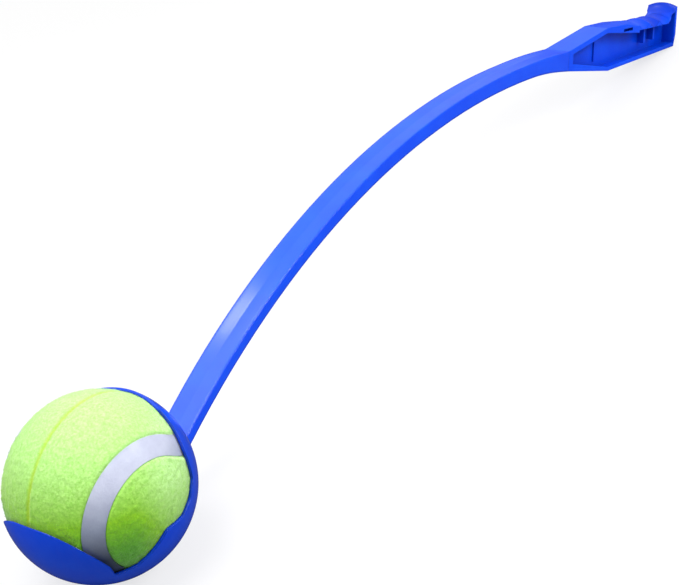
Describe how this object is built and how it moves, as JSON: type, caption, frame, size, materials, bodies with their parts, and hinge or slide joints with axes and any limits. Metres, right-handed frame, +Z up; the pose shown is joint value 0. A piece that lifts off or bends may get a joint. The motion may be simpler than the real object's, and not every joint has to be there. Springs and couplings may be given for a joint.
{
  "type": "dog ball thrower",
  "caption": "Long curved plastic thrower whose open cup snaps round a felt-covered ball, with a ridged I-section grip at the far end.",
  "frame": {"origin": "middle of the bounding box's footprint, on the surface that the thrower stands on", "axes": "+X along the thrower's length from the ball to the grip, +Y across it, +Z up; the thrower is symmetric about the XZ plane and arches upward"},
  "size_m": [0.5574, 0.0668, 0.072],
  "materials": {
    "blue_plastic": "glossy",
    "core_rubber": "matt",
    "felt": "fuzzy",
    "seam_rubber": "matt"
  },
  "bodies": {
    "thrower": {"ball_cup": "blue_plastic", "throwing_arm": "blue_plastic", "grip_handle": "blue_plastic"},
    "ball": {"core_half_near": "core_rubber", "core_half_far": "core_rubber", "felt_panel_front": "felt", "felt_panel_back": "felt", "seam_band": "seam_rubber"}
  },
  "joints": [
    {"name": "ball_release", "type": "slide", "parent": "thrower", "child": "ball", "axis": [-0.3482, 0, 0.9374], "range_m": [0, 0.065], "deforming": ["ball_cup"]}
  ]
}
